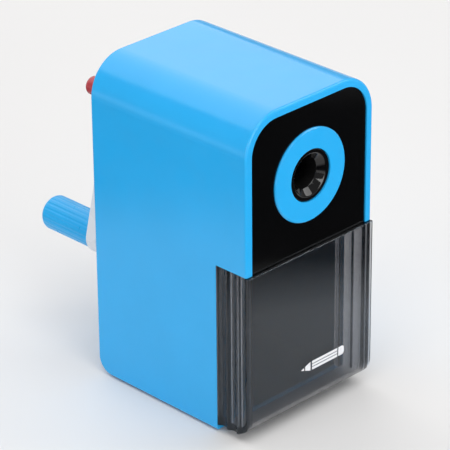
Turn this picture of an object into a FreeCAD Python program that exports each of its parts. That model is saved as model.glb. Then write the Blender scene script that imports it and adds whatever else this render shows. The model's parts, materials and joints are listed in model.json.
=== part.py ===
import FreeCAD, Part
import math
import os
import Sketcher

# Hand-crank desktop pencil sharpener, in millimetres.
# +Z is up, the front faces -Y, and the origin is on the desk under the middle of the shell.
# Places along Y are measured from the shell's front face, and each body's placement moves it to the origin.
# The pencil, the cutter carrier and the crank all turn about one line along Y at axis_height.
# The cutter leans at cutter_tilt to that line and meets it at the apex, behind the point of the pencil.

SIZES = [
    # shell
    ("body_width", 60.4),
    ("body_depth", 73.2),
    ("body_height", 120.0),
    ("wall", 2.8),
    ("top_radius", 14.2),
    ("rear_corner", 6.0),
    ("edge_round", 0.8),
    ("desk_gap", 0.8),
    ("floor_thick", 1.8),
    ("notch_depth", 14.2),
    ("notch_height", 64.0),
    ("axis_height", 91.2),
    ("collar_hole", 9.0),
    ("collar_lip", 2.0),
    ("collar_lip_thick", 1.4),
    ("collar_slope", 0.8),
    # front
    ("panel_recess", 0.5),
    ("panel_thick", 3.2),
    ("fit_gap", 0.1),
    ("running_gap", 0.05),
    ("ring_outer", 16.7),
    ("ring_inner", 9.4),
    ("ring_proud", 0.8),
    ("ring_chamfer", 0.4),
    ("collar_wall", 1.0),
    ("bezel_proud", 0.4),
    ("bezel_flange", 12.0),
    ("funnel_rim", 7.7),
    ("funnel_throat", 5.4),
    ("throat_depth", 2.2),
    ("funnel_depth", 5.6),
    ("pencil_bore", 4.3),
    ("guide_wall", 0.9),
    ("guide_end", 8.0),
    # gear barrel and its end plate
    ("bulkhead_front", 4.4),
    ("bulkhead_thick", 2.5),
    ("barrel_bore", 21.2),
    ("barrel_wall", 3.2),
    ("barrel_end", 58.4),
    ("window_start", 21.0),
    ("window_end", 50.0),
    ("plate_thick", 3.0),
    ("plate_boss_radius", 8.0),
    ("plate_boss_length", 7.6),
    ("pillar_radius", 3.2),
    ("pillar_circle", 20.0),
    ("pillar_spread", 125.0),
    ("screw_play", 1.0),
    ("screw_head_reach", 1.9),
    ("cross_reach", 0.62),
    ("cross_half_slot", 0.16),
    ("cross_depth", 0.55),
    ("small_screw", 1.0),
    ("small_screw_length", 8.0),
    ("rear_screw", 1.5),
    ("rear_screw_length", 9.0),
    # bevel mesh
    ("ring_teeth", 36.0),
    ("pinion_teeth", 12.0),
    ("gear_module", 1.0),
    ("gear_face", 5.0),
    ("gear_mid", 13.5),
    ("dedendum", 1.25),
    ("ring_addendum", 0.75),
    ("pinion_addendum", 0.95),
    ("cutter_tilt", 11.0),
    ("backlash", 0.16),
    ("pressure_angle", 20.0),
    # cutter and carrier
    ("cutter_radius", 6.0),
    ("cutter_length", 23.0),
    ("flute_count", 11.0),
    ("flute_depth", 1.3),
    ("flute_helix", 24.0),
    ("sleeve_radius", 2.8),
    ("axle_radius", 1.5),
    ("axle_seat", 2.4),
    ("axle_clip_thick", 0.6),
    ("axle_clip_gap", 0.2),
    ("clip_reach", 1.9),
    ("groove_share", 0.75),
    ("disc_gap", 0.5),
    ("disc_thick", 3.7),
    ("rear_disc_front", 48.2),
    ("rear_disc_thick", 4.0),
    ("rear_disc_radius", 17.5),
    ("bridge_inner", 10.0),
    ("bridge_outer", 14.0),
    ("bridge_low", 10.0),
    ("bridge_high", 8.0),
    ("hub_radius", 7.5),
    ("hub_length", 4.8),
    # shaft line
    ("shaft_radius", 3.0),
    ("shaft_seat", 3.0),
    ("bush_wall", 2.0),
    ("bush_flange", 6.5),
    ("bush_flange_thick", 0.7),
    ("clip_thick", 0.8),
    ("clip_wall", 1.6),
    ("clip_groove", 0.5),
    ("rod_radius", 1.6),
    ("stop_front", 42.6),
    ("stop_length", 3.6),
    # crank, measured from the shell's back
    ("arm_hub_radius", 8.0),
    ("arm_hub_start", 2.0),
    ("arm_hub_end", 22.0),
    ("arm_start", 12.5),
    ("arm_thick", 5.0),
    ("arm_half_width", 7.0),
    ("arm_length", 50.4),
    ("arm_angle", 13.5),
    ("neck_radius", 4.6),
    ("neck_depth", 7.5),
    ("snap_groove", 5.4),
    ("knob_skirt", 5.8),
    ("knob_skirt_thick", 3.6),
    ("knob_nose", 3.43),
    ("knob_end", 33.0),
    ("knob_dome", 1.5),
    # handle
    ("handle_radius", 6.4),
    ("handle_end", 42.6),
    ("handle_round", 2.1),
    ("handle_flutes", 20.0),
    ("handle_flute_depth", 0.15),
    ("handle_flute_radius", 1.2),
    ("handle_gap", 0.4),
    ("pin_radius", 2.0),
    ("pin_head", 3.6),
    ("cap_radius", 3.9),
    ("cap_thick", 1.6),
    ("push_nut", 3.4),
    # drawer
    ("drawer_proud", 1.0),
    ("drawer_lift", 2.8),
    ("drawer_wall", 2.0),
    ("head_wall", 3.0),
    ("drawer_corner", 7.5),
    ("drawer_edge", 0.35),
    ("bin_room", 6.2),
    ("bin_gap", 0.5),
    ("drawer_flutes", 3.0),
    ("drawer_land", 0.9),
    ("drawer_flute_depth", 1.2),
    ("deck_thick", 1.7),
    ("chute_half_width", 17.0),
    ("pad_thick", 1.2),
    ("pad_margin", 5.0),
]


class Size:
    """A length, an angle or a count, with the spreadsheet expression that drives it."""

    def __init__(self, text, value):
        self.text = text
        self.value = value

    def __add__(self, other):
        other = as_size(other)
        return Size(f"({self.text} + {other.text})", self.value + other.value)

    def __sub__(self, other):
        other = as_size(other)
        return Size(f"({self.text} - {other.text})", self.value - other.value)

    def __mul__(self, other):
        other = as_size(other)
        return Size(f"({self.text} * {other.text})", self.value * other.value)

    def __truediv__(self, other):
        other = as_size(other)
        return Size(f"({self.text} / {other.text})", self.value / other.value)

    def __neg__(self):
        return Size(f"(0 - {self.text})", -self.value)


def as_size(number):
    """A bare number joins the sums as it is."""
    if isinstance(number, Size):
        return number
    return Size(repr(float(number)), float(number))


def sine(angle):
    return Size(f"sin({angle.text} * 1 deg)", math.sin(math.radians(angle.value)))


def cosine(angle):
    return Size(f"cos({angle.text} * 1 deg)", math.cos(math.radians(angle.value)))


doc = FreeCAD.newDocument("pencil_sharpener")
sheet = doc.addObject("Spreadsheet::Sheet", "sizes")
for row, (name, number) in enumerate(SIZES, start=1):
    sheet.set(f"A{row}", name)
    sheet.set(f"B{row}", str(number))
    sheet.setAlias(f"B{row}", name)
doc.recompute()


def size(name):
    return Size(f"sizes.{name}", float(sheet.get(name)))


ZERO = as_size(0)
AXIS = size("axis_height")
DEPTH = size("body_depth")
FRONT_Y = -(DEPTH / 2)
HALF_WIDTH = size("body_width") / 2
INNER_HALF = HALF_WIDTH - size("wall")
INNER_TOP = size("body_height") - size("wall")
INNER_RADIUS = size("top_radius") - size("wall")
RUN = size("running_gap")
FIT = size("fit_gap")
NOTCH_TOP = size("notch_height")
BACK_WALL = DEPTH - size("wall")
GUIDE_RADIUS = size("pencil_bore") + size("guide_wall")
BARREL_RADIUS = size("barrel_bore") + size("barrel_wall")
DISC_FRONT = size("gear_mid") + size("gear_face") / 2 + size("disc_gap")
REAR_DISC_END = size("rear_disc_front") + size("rear_disc_thick")
HUB_END = REAR_DISC_END + size("hub_length")
SHAFT_START = size("rear_disc_front") + size("shaft_seat")
PLATE_FACE = size("barrel_end") + size("plate_thick")
PLATE_BOSS_END = size("barrel_end") + size("plate_boss_length")
NODES = []


# ---------------------------------------------------------------- document helpers

def new_body(label, axis_line=False):
    """A body drawn from the shell's front face; one on the axis line is drawn about that line."""
    body = doc.addObject("PartDesign::Body", label)
    body.Label = label
    place(body, ZERO, FRONT_Y, AXIS if axis_line else ZERO)
    NODES.append(body)
    return body


def place(piece, x, y, z):
    for key, value in (("x", x), ("y", y), ("z", z)):
        piece.setExpression(f"Placement.Base.{key}", value.text)
    piece.Placement.Base = FreeCAD.Vector(x.value, y.value, z.value)


def origin_plane(body, role):
    return next(item for item in body.Origin.OriginFeatures if item.Role == role)


def new_sketch(body, role, offset=ZERO):
    """A sketch on one of the body's own planes, moved along the plane's normal."""
    sketch = body.newObject("Sketcher::SketchObject", body.Label + "_sketch")
    sketch.AttachmentSupport = [(origin_plane(body, role), "")]
    sketch.MapMode = "FlatFace"
    sketch.AttachmentOffset = FreeCAD.Placement(FreeCAD.Vector(0, 0, offset.value), FreeCAD.Rotation())
    sketch.setExpression("AttachmentOffset.Base.z", offset.text)
    return sketch


def bind(sketch, name, constraint, value):
    """A named dimension of the sketch, driven by the sheet."""
    index = sketch.addConstraint(constraint)
    sketch.renameConstraint(index, name)
    sketch.setExpression(f"Constraints.{name}", value.text)


def fix_point(sketch, name, element, end, x, y):
    bind(sketch, name + "_x", Sketcher.Constraint("DistanceX", -1, 1, element, end, x.value), x)
    bind(sketch, name + "_y", Sketcher.Constraint("DistanceY", -1, 1, element, end, y.value), y)


def add_polygon(sketch, corners):
    """A closed outline of straight sides through the given corners."""
    points = [FreeCAD.Vector(x.value, y.value, 0) for x, y in corners]
    first = sketch.GeometryCount
    count = len(points)
    for index, point in enumerate(points):
        sketch.addGeometry(Part.LineSegment(point, points[(index + 1) % count]), False)
    for index in range(count):
        following = first + (index + 1) % count
        sketch.addConstraint(Sketcher.Constraint("Coincident", first + index, 2, following, 1))
    for index, (x, y) in enumerate(corners):
        fix_point(sketch, f"corner{first + index}", first + index, 1, x, y)


def add_box(sketch, left, low, right, high):
    add_polygon(sketch, [(left, low), (right, low), (right, high), (left, high)])


def add_circle(sketch, x, y, radius):
    centre = FreeCAD.Vector(x.value, y.value, 0)
    index = sketch.addGeometry(Part.Circle(centre, FreeCAD.Vector(0, 0, 1), radius.value), False)
    fix_point(sketch, f"centre{index}", index, 3, x, y)
    bind(sketch, f"radius{index}", Sketcher.Constraint("Radius", index, radius.value), radius)


def add_arch(sketch, half_width, low, high, radius):
    """A rectangle with rounded top corners, even about the middle."""
    w, bottom, top, r = half_width.value, low.value, high.value, radius.value
    up = FreeCAD.Vector(0, 0, 1)
    corners = [Part.Circle(FreeCAD.Vector(side * (w - r), top - r, 0), up, r) for side in (1, -1)]
    first = sketch.GeometryCount
    outline = [
        Part.LineSegment(FreeCAD.Vector(-w, bottom, 0), FreeCAD.Vector(w, bottom, 0)),
        Part.LineSegment(FreeCAD.Vector(w, bottom, 0), FreeCAD.Vector(w, top - r, 0)),
        Part.ArcOfCircle(corners[0], 0, math.pi / 2),
        Part.LineSegment(FreeCAD.Vector(w - r, top, 0), FreeCAD.Vector(r - w, top, 0)),
        Part.ArcOfCircle(corners[1], math.pi / 2, math.pi),
        Part.LineSegment(FreeCAD.Vector(-w, top - r, 0), FreeCAD.Vector(-w, bottom, 0)),
    ]
    for piece in outline:
        sketch.addGeometry(piece, False)
    bottom_side, right_side, right_arc, top_side, left_arc, left_side = range(first, first + 6)
    sketch.addConstraint(Sketcher.Constraint("Coincident", bottom_side, 2, right_side, 1))
    sketch.addConstraint(Sketcher.Constraint("Coincident", left_side, 2, bottom_side, 1))
    ends = [(right_side, right_arc), (right_arc, top_side), (top_side, left_arc), (left_arc, left_side)]
    for one, other in ends:
        sketch.addConstraint(Sketcher.Constraint("Tangent", one, 2, other, 1))
    sketch.addConstraint(Sketcher.Constraint("Horizontal", top_side))
    sketch.addConstraint(Sketcher.Constraint("Vertical", right_side))
    sketch.addConstraint(Sketcher.Constraint("Vertical", left_side))
    sketch.addConstraint(Sketcher.Constraint("Equal", right_arc, left_arc))
    fix_point(sketch, "low_left", bottom_side, 1, -half_width, low)
    fix_point(sketch, "low_right", bottom_side, 2, half_width, low)
    bind(sketch, "arch_top", Sketcher.Constraint("DistanceY", -1, 1, top_side, 1, top), high)
    bind(sketch, "arch_radius", Sketcher.Constraint("Radius", right_arc, r), radius)


def profile_feature(body, kind, sketch, length=None):
    feature = body.newObject(kind, body.Label + "_" + kind.split("::")[1].lower())
    feature.Profile = sketch
    if length is not None:
        feature.Length = length.value
        feature.setExpression("Length", length.text)
    return feature


def pad_y(body, draw, start, end):
    """Add material between two planes across Y; draw(sketch) draws with +Z up."""
    sketch = new_sketch(body, "XZ_Plane", -end)
    draw(sketch)
    return profile_feature(body, "PartDesign::Pad", sketch, end - start)


def cut_y(body, draw, start, end):
    sketch = new_sketch(body, "XZ_Plane", -start)
    draw(sketch)
    return profile_feature(body, "PartDesign::Pocket", sketch, end - start)


def pad_z(body, draw, start, end):
    sketch = new_sketch(body, "XY_Plane", start)
    draw(sketch)
    return profile_feature(body, "PartDesign::Pad", sketch, end - start)


def cut_z(body, draw, start, end):
    sketch = new_sketch(body, "XY_Plane", end)
    draw(sketch)
    return profile_feature(body, "PartDesign::Pocket", sketch, end - start)


def turn(body, corners, kind="PartDesign::Revolution"):
    """Turn an outline of (place along Y, radius) corners about the body's Y axis."""
    sketch = new_sketch(body, "YZ_Plane")
    add_polygon(sketch, corners)
    feature = profile_feature(body, kind, sketch)
    feature.ReferenceAxis = (sketch, ["H_Axis"])
    feature.Angle = 360.0
    return feature


def turned_piece(label, corners):
    body = new_body(label, axis_line=True)
    turn(body, corners)
    return body


def tube(start, end, inner, outer):
    return [(start, inner), (end, inner), (end, outer), (start, outer)]


def ring_pattern(body, feature, count):
    """Repeat a feature about the body's Y axis."""
    pattern = body.newObject("PartDesign::PolarPattern", body.Label + "_pattern")
    pattern.Originals = [feature]
    pattern.Axis = (origin_plane(body, "Y_Axis"), [""])
    pattern.Angle = 360.0
    pattern.Occurrences = int(count.value)
    pattern.setExpression("Occurrences", count.text)
    body.Tip = pattern
    return pattern


def mirror_x(body, feature):
    mirrored = body.newObject("PartDesign::Mirrored", body.Label + "_mirrored")
    mirrored.Originals = [feature]
    mirrored.MirrorPlane = (origin_plane(body, "YZ_Plane"), [""])
    body.Tip = mirrored
    return mirrored


def round_edges(body, kind, amount, wanted):
    """Fillet or chamfer the edges of the body's tip that wanted(edge) picks."""
    doc.recompute()
    base = body.Tip
    names = [f"Edge{n}" for n, edge in enumerate(base.Shape.Edges, start=1) if wanted(edge)]
    feature = body.newObject("PartDesign::" + kind, body.Label + "_" + kind.lower())
    feature.Base = (base, names)
    prop = "Radius" if kind == "Fillet" else "Size"
    setattr(feature, prop, amount.value)
    feature.setExpression(prop, amount.text)
    return feature


def runs_through(edge, **where):
    """True when both ends and the middle of the edge have the given coordinates."""
    first, last = edge.ParameterRange
    points = [edge.valueAt(value) for value in (first, (first + last) / 2, last)]
    return all(abs(getattr(p, key) - value) < 0.01 for p in points for key, value in where.items())


def screw(label, head_radius, head_thick, radius, length):
    """One pan-head screw about Y, its head to the back and its seat at y = 0."""
    outline = [(-length, ZERO), (-length, radius), (ZERO, radius), (ZERO, head_radius),
               (head_thick, head_radius), (head_thick, ZERO)]
    body = doc.addObject("PartDesign::Body", label)
    body.Label = label
    turn(body, outline)
    reach, half_slot = head_radius * size("cross_reach"), head_radius * size("cross_half_slot")
    slot = cut_y(body, lambda s: add_cross(s, reach, half_slot), ZERO, head_thick)
    slot.setExpression("Length", (head_thick * size("cross_depth")).text)
    slot.Reversed = True
    sketch = slot.Profile[0]
    sketch.AttachmentOffset = FreeCAD.Placement(FreeCAD.Vector(0, 0, -head_thick.value), FreeCAD.Rotation())
    sketch.setExpression("AttachmentOffset.Base.z", (-head_thick).text)
    return body


def add_cross(sketch, reach, half_slot):
    """The outline of a cross recess."""
    a, b = reach, half_slot
    add_polygon(sketch, [(b, b), (b, a), (-b, a), (-b, b), (-a, b), (-a, -b),
                         (-b, -b), (-b, -a), (b, -a), (b, -b), (a, -b), (a, b)])


def shared_group(label, single, places):
    """Copies of one piece, as separate solids of one node."""
    group = doc.addObject("Part::Feature", label)
    group.Label = label
    doc.recompute()
    solids = []
    for x, y, z in places:
        solid = single.Shape.copy()
        solid.translate(FreeCAD.Vector(x.value, y.value, z.value))
        solids.append(solid)
    group.Shape = Part.makeCompound(solids)
    NODES.append(group)
    return group


# ---------------------------------------------------------------- shell and front

def shell():
    """The outer housing: a round-topped box, open at the front, with the drawer's notch."""
    body = new_body("shell")
    low = size("desk_gap")
    top = size("body_height")
    pad_y(body, lambda s: add_arch(s, HALF_WIDTH, low, top, size("top_radius")), ZERO, DEPTH)
    round_edges(body, "Fillet", size("rear_corner"),
                lambda e: runs_through(e, y=DEPTH.value, z=low.value))
    round_edges(body, "Fillet", size("edge_round"), is_outline_edge)
    floor = low + size("floor_thick")
    cut_y(body, lambda s: add_arch(s, INNER_HALF, floor, INNER_TOP, INNER_RADIUS), -DEPTH, BACK_WALL)
    cut_y(body, lambda s: add_box(s, -HALF_WIDTH * 2, -DEPTH, HALF_WIDTH * 2, NOTCH_TOP), -DEPTH,
          size("notch_depth"))
    through, behind = BACK_WALL - size("wall"), DEPTH + size("wall")
    cut_y(body, lambda s: add_circle(s, ZERO, AXIS, size("collar_hole")), through, behind)
    cut_y(body, draw_rear_screw_holes, through, behind)
    cut_z(body, draw_pad, -DEPTH, size("pad_thick"))


def is_outline_edge(edge):
    """The edges round the front and back faces of the shell, above the rear bottom corner."""
    front = runs_through(edge, y=0.0)
    back = runs_through(edge, y=DEPTH.value)
    low = runs_through(edge, z=size("desk_gap").value)
    return (front or back) and not low


def pillar_places():
    """Where the three pillars stand about the axis: one on top and two below."""
    reach = size("pillar_circle")
    half_turn = Size("180.0", 180.0)
    top = half_turn / 2
    angles = [top, top + size("pillar_spread"), top - size("pillar_spread")]
    return [(reach * cosine(angle), reach * sine(angle)) for angle in angles]


def draw_rear_screw_holes(sketch):
    for x, z in pillar_places():
        add_circle(sketch, x, AXIS + z, size("rear_screw") + FIT)


def draw_pad(sketch):
    margin = size("pad_margin")
    add_box(sketch, margin - HALF_WIDTH, size("notch_depth") + margin, HALF_WIDTH - margin,
            DEPTH - margin - size("rear_corner"))


def base_pad():
    body = new_body("base_pad")
    pad_z(body, draw_pad, ZERO, size("pad_thick"))


def front_panel():
    """The gloss panel in the shell's mouth, above the drawer."""
    body = new_body("front_panel")
    start = size("panel_recess")
    low = NOTCH_TOP + FIT
    pad_y(body, lambda s: add_arch(s, INNER_HALF - FIT, low, INNER_TOP - FIT, INNER_RADIUS - FIT), start,
          start + size("panel_thick"))
    hole = size("ring_inner") + size("collar_wall") + RUN
    cut_y(body, lambda s: add_circle(s, ZERO, AXIS, hole), ZERO, start + size("panel_thick") * 2)


def front_ring():
    """The trim ring, with a collar that goes through the panel."""
    back = size("panel_recess")
    front = back - size("ring_proud")
    inner, outer, slope = size("ring_inner"), size("ring_outer"), size("ring_chamfer")
    collar_end = back + size("panel_thick")
    turned_piece("front_ring", [
        (front, inner), (collar_end, inner), (collar_end, inner + size("collar_wall")),
        (back, inner + size("collar_wall")), (back, outer), (front + slope, outer), (front, outer - slope)])


def entry_bezel():
    """The black mouth: a funnel, a flange behind the panel and the pencil's guide tube."""
    front = size("panel_recess") - size("bezel_proud")
    panel_back = size("panel_recess") + size("panel_thick")
    bulkhead = size("bulkhead_front")
    bore, body_radius = size("pencil_bore"), size("ring_inner") - RUN
    turned_piece("entry_bezel", [
        (front, size("funnel_rim")), (front + size("throat_depth"), size("funnel_throat")),
        (front + size("funnel_depth"), bore), (size("guide_end"), bore), (size("guide_end"), GUIDE_RADIUS),
        (bulkhead, GUIDE_RADIUS), (bulkhead, size("bezel_flange")),
        (panel_back + RUN, size("bezel_flange")), (panel_back + RUN, body_radius), (front, body_radius)])


# ---------------------------------------------------------------- gear barrel

def gear_barrel():
    """The chassis: a bulkhead behind the panel and a barrel with a window for the shavings."""
    body = new_body("gear_barrel", axis_line=True)
    front = size("bulkhead_front")
    inside = front + size("bulkhead_thick")
    low = NOTCH_TOP + FIT * 2 - AXIS
    high = INNER_TOP - FIT - AXIS
    turn(body, tube(front, size("barrel_end"), size("barrel_bore"), BARREL_RADIUS))
    cut_y(body, draw_beyond_shell, front - 1.0, size("barrel_end") + 1.0)
    pad_y(body, lambda s: add_arch(s, INNER_HALF - FIT, low, high, INNER_RADIUS - FIT), front, inside)
    cut_y(body, lambda s: add_circle(s, ZERO, ZERO, GUIDE_RADIUS + RUN), ZERO, inside * 2)
    cut_z(body, lambda s: add_box(s, -size("chute_half_width"), size("window_start"),
                                  size("chute_half_width"), size("window_end")), -AXIS, ZERO)
    cut_y(body, draw_plate_screw_holes, size("barrel_end") - size("small_screw_length"),
          size("barrel_end") + 1.0)


def draw_beyond_shell(sketch):
    """All that lies outside the shell's inside, so that a wide barrel gets flats where it would meet it."""
    far = size("body_height")
    add_box(sketch, -far, -far, far, far)
    deck_top = NOTCH_TOP + size("deck_thick") + FIT * 4
    play = FIT / 2
    add_arch(sketch, INNER_HALF - play, deck_top - AXIS, INNER_TOP - play - AXIS, INNER_RADIUS - play)


def plate_screw_places():
    """Three screws in the middle of the barrel's wall, between the pillars."""
    reach = size("barrel_bore") + size("barrel_wall") / 2
    angles = [Size(f"{angle}", angle) for angle in (30.0, 150.0, 270.0)]
    return [(reach * cosine(angle), reach * sine(angle)) for angle in angles]


def draw_plate_screw_holes(sketch):
    for x, z in plate_screw_places():
        add_circle(sketch, x, z, size("small_screw"))


def rear_bearing_plate():
    """The end plate of the barrel, with the shaft's bearing boss and three pillars to the shell."""
    body = new_body("rear_bearing_plate", axis_line=True)
    start, boss = size("barrel_end"), size("plate_boss_radius")
    bore = size("shaft_radius") + RUN + size("bush_wall")
    turn(body, [(start, bore), (PLATE_BOSS_END, bore), (PLATE_BOSS_END, boss), (PLATE_FACE, boss),
                (PLATE_FACE, BARREL_RADIUS), (start, BARREL_RADIUS)])
    cut_y(body, draw_beyond_shell, start - 1.0, PLATE_FACE + 1.0)
    pad_y(body, draw_pillars, PLATE_FACE, BACK_WALL)
    cut_y(body, draw_pillar_bores, BACK_WALL - size("rear_screw_length"), DEPTH)
    cut_y(body, draw_plate_screw_holes, start - 1.0, PLATE_FACE + 1.0)


def draw_pillars(sketch):
    for x, z in pillar_places():
        add_circle(sketch, x, z, size("pillar_radius"))


def draw_pillar_bores(sketch):
    for x, z in pillar_places():
        add_circle(sketch, x, z, size("rear_screw"))


def plate_screws():
    radius = size("small_screw")
    length = size("small_screw_length") + size("plate_thick") - size("screw_play")
    single = screw("plate_screw_pattern", radius * size("screw_head_reach"), radius + FIT, radius, length)
    shared_group("plate_screws", single,
                 [(x, PLATE_FACE + FRONT_Y, z + AXIS) for x, z in plate_screw_places()])


def rear_screws():
    """The screws through the shell's back into the pillars."""
    radius = size("rear_screw")
    length = size("rear_screw_length") + size("wall") - size("screw_play")
    single = screw("rear_screw_pattern", radius * size("screw_head_reach"), radius, radius, length)
    shared_group("rear_screws", single,
                 [(x, DEPTH + FRONT_Y, z + AXIS) for x, z in pillar_places()])


def rear_bush():
    bore = size("shaft_radius") + RUN
    start = size("barrel_end")
    turned_piece("rear_bush", [
        (start - size("bush_flange_thick"), bore), (PLATE_BOSS_END, bore),
        (PLATE_BOSS_END, bore + size("bush_wall")), (start, bore + size("bush_wall")),
        (start, size("bush_flange")), (start - size("bush_flange_thick"), size("bush_flange"))])


def rear_collar():
    """The collar that lines the shell's back hole round the shaft."""
    bore, flange = size("shaft_radius") + RUN, size("collar_hole") + size("collar_lip")
    end, slope = DEPTH + size("collar_lip_thick"), size("collar_slope")
    turned_piece("rear_collar", [
        (BACK_WALL, bore), (end, bore), (end, flange - slope), (end - slope, flange), (DEPTH, flange),
        (DEPTH, size("collar_hole")), (BACK_WALL, size("collar_hole"))])


def chute_deck():
    """The floor of the gear space, with the chute that drops shavings into the drawer."""
    body = new_body("chute_deck")
    low = NOTCH_TOP + FIT * 3
    front = size("bulkhead_front") + size("bulkhead_thick")
    top = low + size("deck_thick")
    pad_z(body, lambda s: add_box(s, -INNER_HALF, front, INNER_HALF, BACK_WALL), low, top)
    cut_z(body, lambda s: add_box(s, -size("chute_half_width"), size("window_start"),
                                  size("chute_half_width"), size("window_end")), low - 1.0,
          low + size("deck_thick") + 1.0)


# ---------------------------------------------------------------- bevel mesh

TILT = size("cutter_tilt")
PINION_CONE = math.atan2(math.sin(math.radians(TILT.value)),
                         size("ring_teeth").value / size("pinion_teeth").value - math.cos(math.radians(TILT.value)))
RING_CONE = PINION_CONE + math.radians(TILT.value)
PINION_PITCH = size("gear_module").value * size("pinion_teeth").value / 2
RING_PITCH = size("gear_module").value * size("ring_teeth").value / 2
CONE_DISTANCE = PINION_PITCH / math.sin(PINION_CONE)
APEX_Y = size("gear_mid").value + CONE_DISTANCE * math.cos(RING_CONE)
PINION_MID = CONE_DISTANCE * math.cos(PINION_CONE)
RING_MID = CONE_DISTANCE * math.cos(RING_CONE)


def involute(angle):
    return math.tan(angle) - angle


def half_tooth_angle(radius, pitch, teeth, gap):
    """Half the angle that a tooth, or the space it fills, spans at a radius."""
    pressure = math.radians(size("pressure_angle").value)
    base = pitch * math.cos(pressure)
    at_radius = math.acos(min(1.0, base / radius))
    return math.pi / (2 * teeth) + gap / (2 * pitch) + involute(pressure) - involute(at_radius)


def toothed_wire(teeth, pitch, root, tip, gap, y, scale, turn_by=0.0):
    """A closed gear outline across Y; each flank is an involute from the root to the tip."""
    base = pitch * math.cos(math.radians(size("pressure_angle").value))
    start = max(root, base)
    edges = []
    joins = []
    for tooth in range(teeth):
        middle = turn_by + 2 * math.pi * tooth / teeth
        radii = [start + (tip - start) * step / 4 for step in range(5)]
        rise = [(r, middle - half_tooth_angle(r, pitch, teeth, gap)) for r in radii]
        fall = [(r, middle + half_tooth_angle(r, pitch, teeth, gap)) for r in reversed(radii)]
        flanks = [[polar_point(r, angle, y, scale) for r, angle in side] for side in (rise, fall)]
        feet = [polar_point(root, rise[0][1], y, scale), polar_point(root, fall[-1][1], y, scale)]
        top = polar_point(tip, middle, y, scale)
        joins.append((feet, middle))
        if root < start:
            edges.append(Part.LineSegment(feet[0], flanks[0][0]).toShape())
        edges.append(smooth_edge(flanks[0]))
        edges.append(Part.Arc(flanks[0][-1], top, flanks[1][0]).toShape())
        edges.append(smooth_edge(flanks[1]))
        if root < start:
            edges.append(Part.LineSegment(flanks[1][-1], feet[1]).toShape())
    for tooth, (feet, middle) in enumerate(joins):
        following = joins[(tooth + 1) % teeth][0][0]
        bottom = polar_point(root, middle + math.pi / teeth, y, scale)
        edges.append(Part.Arc(feet[1], bottom, following).toShape())
    return Part.Wire(Part.__sortEdges__(edges))


def polar_point(radius, angle, y, scale):
    """A point round the Y axis; angle 0 is straight up."""
    return FreeCAD.Vector(radius * scale * math.sin(angle), y, radius * scale * math.cos(angle))


def smooth_edge(points):
    curve = Part.BSplineCurve()
    curve.interpolate(points)
    return curve.toShape()


def tapered_teeth(teeth, pitch, root, tip, gap, middle, face, turn_by=0.0):
    """A toothed solid whose sections shrink towards the apex at y = 0."""
    wires = []
    for y in (-middle - face / 2, -middle + face / 2):
        wires.append(toothed_wire(teeth, pitch, root, tip, gap, y, -y / middle, turn_by))
    return Part.makeLoft(wires, True, True)


def add_shape(label, shape, placement):
    piece = doc.addObject("Part::Feature", label)
    piece.Label = label
    piece.Shape = shape
    piece.Placement = placement
    NODES.append(piece)
    return piece


def cylinder_y(start, end, radius, x=0.0, z=0.0):
    return Part.makeCylinder(radius, end - start, FreeCAD.Vector(x, start, z), FreeCAD.Vector(0, 1, 0))


def ring_gear():
    """The fixed internal gear; its spaces are the shape of an outside gear's teeth."""
    module, face = size("gear_module").value, size("gear_face").value
    blank = cylinder_y(-RING_MID - face / 2, -RING_MID + face / 2, size("barrel_bore").value)
    root, tip = module * size("dedendum").value, module * size("ring_addendum").value
    spaces = tapered_teeth(int(size("ring_teeth").value), RING_PITCH, RING_PITCH - tip, RING_PITCH + root,
                           size("backlash").value, RING_MID, face + 0.02)
    add_shape("ring_gear", blank.cut(spaces), apex_placement(0.0))


def apex_placement(tilt):
    turn_back = FreeCAD.Rotation(FreeCAD.Vector(1, 0, 0), -tilt)
    return FreeCAD.Placement(FreeCAD.Vector(0, APEX_Y + FRONT_Y.value, AXIS.value), turn_back)


def cutter_pinion():
    """The cutter's own gear, pressed on the cutter's sleeve."""
    module, face = size("gear_module").value, size("gear_face").value
    root, tip = module * size("dedendum").value, module * size("pinion_addendum").value
    teeth = tapered_teeth(int(size("pinion_teeth").value), PINION_PITCH, PINION_PITCH - root,
                          PINION_PITCH + tip, -size("backlash").value, PINION_MID, face)
    bore = cylinder_y(-PINION_MID - face, -PINION_MID + face, size("sleeve_radius").value)
    add_shape("cutter_pinion", teeth.cut(bore), apex_placement(TILT.value))


# ---------------------------------------------------------------- cutter and carrier

def cutter_back():
    """Distance from the apex at which the cutter's rim just meets the axis line."""
    tilt = math.radians(TILT.value)
    return size("cutter_radius").value * math.cos(tilt) / math.sin(tilt) + 0.15


def fluted_wire(y, turn_by):
    """A section of the cutter: saw-shaped blades with a steep face and a sloping back."""
    count = int(size("flute_count").value)
    tip = size("cutter_radius").value
    root = tip - size("flute_depth").value
    step = 2 * math.pi / count
    points = []
    for blade in range(count):
        start = turn_by + blade * step
        points.append(polar_point(root, start, y, 1.0))
        points.append(polar_point(tip, start + step * 0.12, y, 1.0))
        points.append(polar_point(tip * 0.985, start + step * 0.3, y, 1.0))
        points.append(polar_point(root, start + step * 0.75, y, 1.0))
    return Part.makePolygon(points + points[:1])


def helical_cutter():
    """The milling cutter and the sleeve that carries its pinion."""
    back = -cutter_back()
    front = back - size("cutter_length").value
    twist = math.tan(math.radians(size("flute_helix").value)) / size("cutter_radius").value
    sections = 12
    wires = []
    for step in range(sections + 1):
        y = back + (front - back) * step / sections
        wires.append(fluted_wire(y, (y - back) * twist))
    blades = Part.makeLoft(wires, True, True)
    sleeve_end = -PINION_MID - size("gear_face").value / 2
    sleeve = cylinder_y(sleeve_end, front + 0.5, size("sleeve_radius").value)
    bore = cylinder_y(sleeve_end - 1.0, back + 1.0, size("axle_radius").value + RUN.value)
    add_shape("helical_cutter", blades.fuse(sleeve).cut(bore), apex_placement(TILT.value))


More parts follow.
